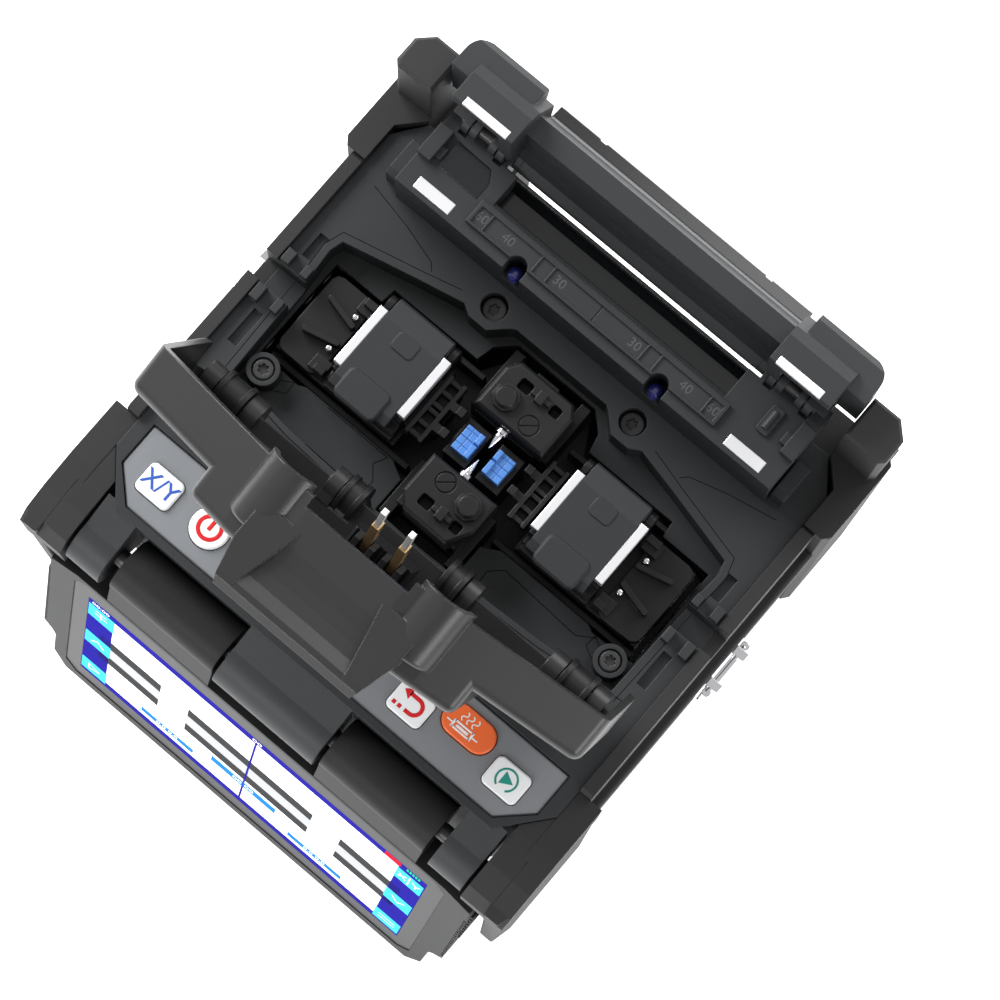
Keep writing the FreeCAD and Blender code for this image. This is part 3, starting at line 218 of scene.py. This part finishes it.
def add_ring(bm, x, y, outer, inner, low, high, start=0.0, sweep=360.0):
    """A flat ring, or part of one, made by spinning its small section."""
    angle = math.radians(start)
    turn = Matrix.Rotation(angle, 3, "Z")
    corners = [(inner, low), (outer, low), (outer, high), (inner, high)]
    verts = [bm.verts.new(turn @ Vector((r, 0, z)) + Vector((x, y, 0))) for r, z in corners]
    face = bm.faces.new(verts)
    full = sweep >= 360.0
    geom = [face] if not full else list(face.edges) + list(face.verts)
    if full:
        bmesh.ops.delete(bm, geom=[face], context="FACES_ONLY")
    bmesh.ops.spin(bm, geom=geom, cent=(x, y, 0), axis=(0, 0, 1), angle=math.radians(min(sweep, 360.0)),
                   steps=max(6, int(36 * sweep / 360)), use_merge=full)


def add_bar(bm, start, end, width, low, high):
    """A straight stroke between two points."""
    a, b = Vector((*start, 0)), Vector((*end, 0))
    side = (b - a).normalized().cross(Vector((0, 0, 1))) * width / 2
    corners = (a + side, b + side, b - side, a - side)
    add_outline(bm, [tuple(corner[:2]) for corner in corners], low, high)


def add_text(bm, text, x, y, height, low, high):
    """Plain lettering as a solid, centred on x, y."""
    curve = bpy.data.curves.new("letters", "FONT")
    curve.body = text
    curve.size = height * 1.4
    curve.align_x = "CENTER"
    curve.align_y = "CENTER"
    curve.resolution_u = 3
    curve.extrude = (high - low) / 2
    curve.offset = 0.012 * height
    holder = bpy.data.objects.new("letters", curve)
    bpy.context.scene.collection.objects.link(holder)
    bpy.context.view_layer.update()
    mesh = bpy.data.meshes.new_from_object(holder.evaluated_get(bpy.context.evaluated_depsgraph_get()))
    mesh.transform(Matrix.Translation((x, y, (low + high) / 2)))
    bm.from_mesh(mesh)
    bpy.data.objects.remove(holder)
    bpy.data.curves.remove(curve)
    bpy.data.meshes.remove(mesh)


def to_machine(bm):
    """From millimetres about the splice point to the machine's metres."""
    bmesh.ops.scale(bm, vec=(MM, MM, MM), verts=bm.verts)
    bmesh.ops.translate(bm, vec=(0, SPLICE_Y, SPLICE_Z), verts=bm.verts)


DISPLAY_TOP = (-83.93, -36.99)
DISPLAY_LEAN = math.radians(11.0)


def to_display(bm):
    """From the picture's plane (x right, y down as negative, z out of the glass) to the leaning display."""
    spin = Matrix.Rotation(math.radians(90) - DISPLAY_LEAN, 3, "X")
    bmesh.ops.rotate(bm, cent=(0, 0, 0), matrix=spin, verts=bm.verts)
    bmesh.ops.translate(bm, vec=(0, *DISPLAY_TOP), verts=bm.verts)
    to_machine(bm)


# ------------------------------------------------------------------ settings


class SPLICER_PG_look(bpy.types.PropertyGroup):
    """Sizes and colours a user would change."""

    mark_height: bpy.props.FloatProperty(
        name="Mark height",
        description="How far the printed marks stand off a key, in mm",
        default=0.06,
        min=0.01,
        max=0.3,
    )
    picture_layer: bpy.props.FloatProperty(
        name="Picture layer",
        description="Thickness of each layer of the screen picture, in mm",
        default=0.03,
    )
    figure_size: bpy.props.FloatProperty(
        name="Figure size", description="Height of the sleeve-length figures in mm", default=2.4)
    grip_ribs: bpy.props.IntProperty(
        name="Grip ribs", description="Ribs on each side of the monitor", default=9, min=1, max=14)
    floor_colour: bpy.props.FloatVectorProperty(
        name="Floor colour",
        description="Colour of the studio floor",
        default=(0.9, 0.9, 0.9),
        subtype="COLOR",
    )


class SPLICER_PG_stage(bpy.types.PropertyGroup):
    """Camera and light."""

    lens: bpy.props.FloatProperty(
        name="Lens",
        description="Focal length on a 36 mm sensor",
        default=132.29,
        subtype="DISTANCE_CAMERA",
    )
    key_power: bpy.props.FloatProperty(
        name="Key light", description="Power of the large overhead light", default=20.0, unit="POWER")
    fill_power: bpy.props.FloatProperty(
        name="Fill light", description="Power of the side lights", default=6.0, unit="POWER")
    sky: bpy.props.FloatProperty(
        name="Sky", description="Strength of the even surrounding light", default=0.55)


# ------------------------------------------------------------------ operators


class SPLICER_OT_stage(bpy.types.Operator):
    """Camera, pale floor and soft studio light"""

    bl_idname = "splicer.stage"
    bl_label = "Stage"

    def execute(self, context):
        look = context.scene.splicer_look
        setup = context.scene.splicer_stage
        data = bpy.data.cameras.new("Studio camera")
        data.lens = setup.lens
        data.sensor_width = 36.0
        data.clip_end = 20.0
        camera = bpy.data.objects.new("Studio camera", data)
        turn = Matrix((CAMERA_RIGHT, CAMERA_UP, CAMERA_BACK)).transposed().to_4x4()
        place = CAMERA_FROM_SPLICE + Vector((0, SPLICE_Y, SPLICE_Z))
        camera.matrix_world = Matrix.Translation(place) @ turn
        context.scene.collection.objects.link(camera)
        context.scene.camera = camera

        bm = bmesh.new()
        bmesh.ops.create_grid(bm, x_segments=1, y_segments=1, size=3.0)
        mesh = bpy.data.meshes.new("Studio floor")
        bm.to_mesh(mesh)
        bm.free()
        floor = bpy.data.objects.new("Studio floor", mesh)
        floor.location.z = -0.0002
        context.scene.collection.objects.link(floor)
        paper = finish("Studio floor", tuple(look.floor_colour), 0.9, strength=0.0, glow=0.9)
        mesh.materials.append(paper)

        lights = (
            ("Left softbox", (-1.0, 0.25, 0.75), (0.0, 0.0, 0.1), 0.7, setup.key_power),
            ("Rear softbox", (0.25, 1.1, 0.8), (0.0, 0.0, 0.1), 0.8, 0.4 * setup.key_power),
            ("Right strip", (1.0, -0.35, 0.55), (0.0, 0.0, 0.05), 0.4, 0.6 * setup.fill_power),
            ("Front strip", (-0.2, -1.1, 0.7), (0.0, 0.0, 0.05), 0.4, setup.fill_power),
        )
        for name, place, target, size, power in lights:
            lamp = bpy.data.lights.new(name, "AREA")
            lamp.size = size
            lamp.energy = power
            holder = bpy.data.objects.new(name, lamp)
            aim = (Vector(target) - Vector(place)).to_track_quat("-Z", "Y")
            holder.matrix_world = Matrix.Translation(place) @ aim.to_matrix().to_4x4()
            context.scene.collection.objects.link(holder)
        world = bpy.data.worlds.new("Studio sky")
        world.use_nodes = True
        world.node_tree.nodes["Background"].inputs["Color"].default_value = (1, 1, 1, 1)
        world.node_tree.nodes["Background"].inputs["Strength"].default_value = setup.sky
        context.scene.world = world
        context.scene.view_settings.view_transform = "Standard"
        return {"FINISHED"}


class SPLICER_OT_finishes(bpy.types.Operator):
    """Gives every part its own finish"""

    bl_idname = "splicer.finishes"
    bl_label = "Finishes"

    def execute(self, context):
        slots = {row["node"]: row["material_slot"] for row in frame["record"]["subparts"]}
        for name, obj in frame["nodes"].items():
            obj.data.materials.clear()
            obj.data.materials.append(paint("screwblack" if name == "hinge_pins" else slots[name]))
        return {"FINISHED"}


def screen_layers():
    """The rectangles of the live view: field, dark borders, side buttons, fibre bodies and fibre cores."""
    field = [(-48.9, 48.9, -60.9, -4.2)]
    navy = [(-54, 54, -4.2, 0), (-54, 54, -64.8, -60.9), (-54, -45.8, -60.9, -4.2), (45.6, 54, -60.9, -4.2)]
    columns = ((-53.8, (-3.9, -28.0, -53.2)), (45.5, (-5.0, -29.2, -53.8)))
    cyan = [(x, x + 8.2, y - 9.6, y) for x, rows in columns for y in rows]
    dark = []
    light = []
    for x0, x1 in ((-49.2, -29.2), (-20.2, 20.4), (29.4, 49.0)):
        dark += [(x0, x1, -28.8, -22.6), (x0, x1, -42.6, -36.5)]
        light.append((x0, x1, -36.5, -28.8))
    return field, navy, cyan, dark, light


class SPLICER_OT_screen(bpy.types.Operator):
    """The lit picture on the display"""

    bl_idname = "splicer.screen"
    bl_label = "Screen picture"

    def execute(self, context):
        step = context.scene.splicer_look.picture_layer
        base = GLASS_FACE
        field, navy, cyan, dark, light = screen_layers()
        for name, material, rects, level in (
            ("picture_field", "ink_field", field, 0), ("picture_borders", "ink_navy", navy, 1),
            ("picture_fibre_bodies", "ink_dark", dark, 1), ("picture_fibre_cores", "ink_light", light, 1),
            ("picture_buttons", "ink_cyan", cyan, 2),
        ):
            bm = bmesh.new()
            for x0, x1, y0, y1 in rects:
                add_rect(bm, x0, x1, y0, y1, base + level * step, base + (level + 1) * step)
            to_display(bm)
            piece(name, bm, material, "monitor")
        self.glyphs(base + 3 * step, base + 4 * step)
        self.captions(base + 2 * step, base + 3 * step)
        return {"FINISHED"}

    def glyphs(self, low, high):
        """The strokes on the six side buttons."""
        bm = bmesh.new()
        strokes = [
            ((-51.6, -6.6), (-48.0, -6.6)), ((-49.8, -6.6), (-49.8, -10.8)), ((-51.8, -9.0), (-47.8, -9.0)),
            ((-51.8, -34.6), (-49.7, -31.4)), ((-49.7, -31.4), (-47.6, -34.6)),
            ((-51.4, -56.0), (-51.4, -60.0)), ((-51.4, -56.0), (-47.8, -58.0)), ((-51.4, -60.0), (-47.8, -58.0)),
            ((49.6, -6.0), (49.6, -13.4)), ((46.3, -8.2), (48.7, -11.6)), ((46.3, -11.6), (48.7, -8.2)),
            ((50.6, -8.0), (51.8, -9.8)), ((53.0, -8.0), (51.8, -9.8)), ((51.8, -9.8), (51.8, -11.8)),
            ((47.6, -32.4), (49.6, -35.6)), ((49.6, -35.6), (51.6, -32.4)),
            ((46.9, -60.0), (52.2, -60.0)), ((46.9, -57.4), (52.2, -57.4)),
        ]
        for start, end in strokes:
            add_bar(bm, start, end, 0.42, low, high)
        to_display(bm)
        piece("picture_button_strokes", bm, "ink_white", "monitor")

    def captions(self, low, high):
        """The value captions, the clock, the mode word and the small status labels."""
        groups = (
            ("picture_captions", "ink_blue", [(-33.6, -16.1, -58.0, -54.6), (16.0, 33.8, -58.2, -54.9),
                                              (-10.6, 10.7, -49.4, -45.0)]),
            ("picture_middle_line", "ink_navy", [(-0.3, 0.3, -60.9, -4.2)]),
            ("picture_red_label", "ink_red", [(41.0, 46.0, -3.7, -0.4)]),
            ("picture_battery", "ink_green", [(47.8 + 0.9 * k, 48.4 + 0.9 * k, -2.6, -0.7) for k in range(5)]),
        )
        for name, material, rects in groups:
            bm = bmesh.new()
            for x0, x1, y0, y1 in rects:
                add_rect(bm, x0, x1, y0, y1, low, high)
            to_display(bm)
            piece(name, bm, material, "monitor")
        bm = bmesh.new()
        figures = (
            ("0.0 0.0", -24.9, -56.3, 1.9), ("0.0 0.0", 24.9, -56.5, 1.9), ("00 00", 0.0, -47.2, 2.2),
            ("00:00", -50.1, -2.0, 1.8), ("00", 0.2, -2.1, 2.2),
        )
        for text, x, y, size in figures:
            add_text(bm, text, x, y, size, high, high + (high - low))
        to_display(bm)
        piece("picture_figures", bm, "ink_white", "monitor")


class SPLICER_OT_key_marks(bpy.types.Operator):
    """The printed marks on the five keys"""

    bl_idname = "splicer.key_marks"
    bl_label = "Key marks"

    def execute(self, context):
        high = KEY_TOP + context.scene.splicer_look.mark_height
        low = KEY_TOP - 0.02
        bm = bmesh.new()
        add_text(bm, "X/Y", -53.5, -55.1, 4.3, low, high)
        to_machine(bm)
        piece("axis_key_mark", bm, "mark_blue", "key_xy_body")

        bm = bmesh.new()
        add_ring(bm, -38.0, -55.0, 3.3, 2.3, low, high, start=125, sweep=290)
        add_bar(bm, (-38.0, -55.6), (-38.0, -51.4), 1.0, low, high)
        to_machine(bm)
        piece("power_key_mark", bm, "mark_red", "key_power_body")

        bm = bmesh.new()
        add_ring(bm, 26.0, -56.0, 2.5, 1.5, low, high, start=270, sweep=180)
        add_bar(bm, (26.0, -54.0), (23.4, -54.0), 1.0, low, high)
        add_outline(bm, [(21.6, -54.0), (23.7, -55.6), (23.7, -52.4)], low, high)
        add_bar(bm, (26.0, -58.0), (24.6, -58.0), 1.0, low, high)
        add_rect(bm, 22.6, 23.6, -58.5, -57.5, low, high)
        add_rect(bm, 21.0, 22.0, -58.5, -57.5, low, high)
        to_machine(bm)
        piece("reset_key_mark", bm, "mark_red", "key_reset_body")

        bm = bmesh.new()
        tube = (
            (35.4, 40.6, -53.9, -53.4), (35.4, 40.6, -52.2, -51.7), (35.0, 35.6, -53.9, -51.7),
            (40.4, 41.0, -53.9, -51.7), (36.2, 39.8, -53.2, -52.5), (33.4, 35.0, -53.0, -52.6),
            (41.0, 42.6, -53.0, -52.6),
        )
        for x0, x1, y0, y1 in tube:
            add_rect(bm, x0, x1, y0, y1, low, high)
        for x in (36.6, 38.2, 39.8):
            add_ring(bm, x, -50.5, 0.75, 0.4, low, high, start=90, sweep=180)
            add_ring(bm, x, -49.35, 0.75, 0.4, low, high, start=-90, sweep=180)
        to_machine(bm)
        piece("heat_key_mark", bm, "mark_white", "key_heat_body")

        bm = bmesh.new()
        add_ring(bm, 53.5, -55.1, 2.9, 2.4, low, high, start=-60, sweep=300)
        add_outline(bm, [(52.3, -56.8), (55.4, -55.1), (52.3, -53.4)], low, high)
        to_machine(bm)
        piece("set_key_mark", bm, "mark_teal", "key_set_body")
        return {"FINISHED"}


class SPLICER_OT_scale_figures(bpy.types.Operator):
    """The sleeve-length figures engraved in the heater strip"""

    bl_idname = "splicer.scale_figures"
    bl_label = "Sleeve-length figures"

    def execute(self, context):
        size = context.scene.splicer_look.figure_size
        bm = bmesh.new()
        for text, x in (("60", 35.1), ("40", 27.0), ("30", 11.4)):
            for side in (-1, 1):
                add_text(bm, text, side * x, 40.2, size, SCALE_WINDOW - 0.02, SCALE_WINDOW + 0.03)
        to_machine(bm)
        piece("sleeve_length_figures", bm, "ink_grey", "machine")
        return {"FINISHED"}


class SPLICER_OT_grips(bpy.types.Operator):
    """The moulded grip ribs on both sides of the monitor"""

    bl_idname = "splicer.grips"
    bl_label = "Monitor grips"

    def execute(self, context):
        look = context.scene.splicer_look
        bm = bmesh.new()
        for step in range(look.grip_ribs):
            y = -3.0 - 3.0 * step
            for x0, x1 in ((66.6, 67.5), (-67.5, -66.6)):
                add_rect(bm, x0, x1, y - 0.75, y + 0.75, -9.5, -1.2)
        to_display(bm)
        piece("monitor_grips", bm, "monitor", "monitor")
        return {"FINISHED"}


class SPLICER_OT_bumper_webs(bpy.types.Operator):
    """The rubber that fills the front corners between the bumpers and the monitor hinge"""

    bl_idname = "splicer.bumper_webs"
    bl_label = "Front bumper webs"

    def execute(self, context):
        side_view = [
            (-82.0, -26.0), (-82.0, -13.0), (-79.0, -9.0), (-72.0, -6.5), (-62.0, -5.1), (-53.0, -5.1),
            (-53.0, -26.0),
        ]
        bm = bmesh.new()
        for side in (-1, 1):
            part = bmesh.new()
            add_outline(part, side_view, *sorted((side * 62.4, side * 69.45)))
            axes = Matrix(((0, 0, 1), (1, 0, 0), (0, 1, 0))).to_4x4()
            part.transform(axes)
            cut_at = Vector((side * 62.4, -60.95, 0))
            along = Vector((side * 10, 12, 0)).normalized()
            out = along.cross(Vector((0, 0, 1))) * side
            whole = part.verts[:] + part.edges[:] + part.faces[:]
            found = bmesh.ops.bisect_plane(
                part, geom=whole, plane_co=cut_at, plane_no=-out, clear_outer=True)
            edges = [g for g in found["geom_cut"] if isinstance(g, bmesh.types.BMEdge)]
            bmesh.ops.contextual_create(part, geom=edges)
            mesh = bpy.data.meshes.new("web")
            part.to_mesh(mesh)
            part.free()
            bm.from_mesh(mesh)
            bpy.data.meshes.remove(mesh)
        to_machine(bm)
        piece("front_bumper_webs", bm, "bumper", "machine")
        return {"FINISHED"}


class SPLICER_OT_lid_latch(bpy.types.Operator):
    """The black latch frames beside the heater lid hinges"""

    bl_idname = "splicer.lid_latch"
    bl_label = "Heater lid latches"

    def execute(self, context):
        bm = bmesh.new()
        for side in (-1, 1):
            for x in (43.2, 45.6, 48.0, 50.4):
                add_rect(bm, *sorted((side * x, side * (x + 0.8))), 57.0, 58.55, 18.6, 27.6)
            for z in (19.4, 22.6, 25.8):
                add_rect(bm, *sorted((side * 43.2, side * 51.2)), 57.1, 58.5, z, z + 0.8)
        to_machine(bm)
        piece("lid_latch_frames", bm, "frame", "lid")
        return {"FINISHED"}


def engraved(bm, points, width, level):
    """A thin dark seam line along a run of points."""
    for start, end in zip(points[:-1], points[1:]):
        add_bar(bm, start, end, width, level - 0.03, level + 0.02)


class SPLICER_OT_seams(bpy.types.Operator):
    """The seam lines of the deck, tray panels and keypad surround"""

    bl_idname = "splicer.seams"
    bl_label = "Seam lines"

    def execute(self, context):
        bm = bmesh.new()
        panel_left = [
            (-37, -13.9), (-18.3, -14.0), (-20, -17.3), (-17.2, -20.6), (-17.7, -24.6), (-35.3, -24.2)]
        panel_right = [(17.8, -24.4), (17.5, -19.5), (20.6, -16.5), (43.3, -17.6), (47.6, -14.9)]
        engraved(bm, panel_left, 0.22, TRAY_FLOOR)
        engraved(bm, panel_right, 0.22, TRAY_FLOOR)
        # The rest is the same on both sides: points for the right, line width, face.
        runs = (
            ([(57.6, -20.9), (47.1, -14.6), (46.8, -17.8), (55.6, -22.6)], 0.2, TRAY_FLOOR),
            ([(60.6, -24.8), (61.4, 2), (62.2, 14.6), (60.6, 19.6), (39.8, 24.6), (30.0, 27.2)], 0.2, DECK_TOP),
            ([(62.6, -23.4), (39, -26.6), (22, -27.4)], 0.25, DECK_TOP),
            ([(62.4, 33.0), (50, 30.5), (40, 27.6), (38.4, 25.9)], 0.2, DECK_TOP),
        )
        for side in (-1, 1):
            for points, width, face in runs:
                engraved(bm, [(side * x, y) for x, y in points], width, face)
        to_machine(bm)
        piece("seam_lines", bm, "groove", "machine")
        return {"FINISHED"}


PIECES = (
    SPLICER_OT_stage,
    SPLICER_OT_finishes,
    SPLICER_OT_screen,
    SPLICER_OT_key_marks,
    SPLICER_OT_scale_figures,
    SPLICER_OT_grips,
    SPLICER_OT_bumper_webs,
    SPLICER_OT_lid_latch,
    SPLICER_OT_seams,
)


class SPLICER_PT_panel(bpy.types.Panel):
    """Lists the steps that dress the splicer"""

    bl_label = "Splicer"
    bl_idname = "SPLICER_PT_panel"
    bl_space_type = "VIEW_3D"
    bl_region_type = "UI"
    bl_category = "Splicer"

    def draw(self, context):
        layout = self.layout
        for operator in PIECES:
            layout.operator(operator.bl_idname)
        for group in (context.scene.splicer_look, context.scene.splicer_stage):
            for name in group.bl_rna.properties.keys():
                if name not in ("rna_type", "name"):
                    layout.prop(group, name)


CLASSES = (SPLICER_PG_look, SPLICER_PG_stage, *PIECES, SPLICER_PT_panel)


def register():
    for cls in CLASSES:
        bpy.utils.register_class(cls)
    bpy.types.Scene.splicer_look = bpy.props.PointerProperty(type=SPLICER_PG_look)
    bpy.types.Scene.splicer_stage = bpy.props.PointerProperty(type=SPLICER_PG_stage)


def unregister():
    del bpy.types.Scene.splicer_stage
    del bpy.types.Scene.splicer_look
    for cls in reversed(CLASSES):
        bpy.utils.unregister_class(cls)


def main():
    register()
    for operator in PIECES:
        group, name = operator.bl_idname.split(".")
        getattr(getattr(bpy.ops, group), name)()


if __name__ == "__main__":
    main()
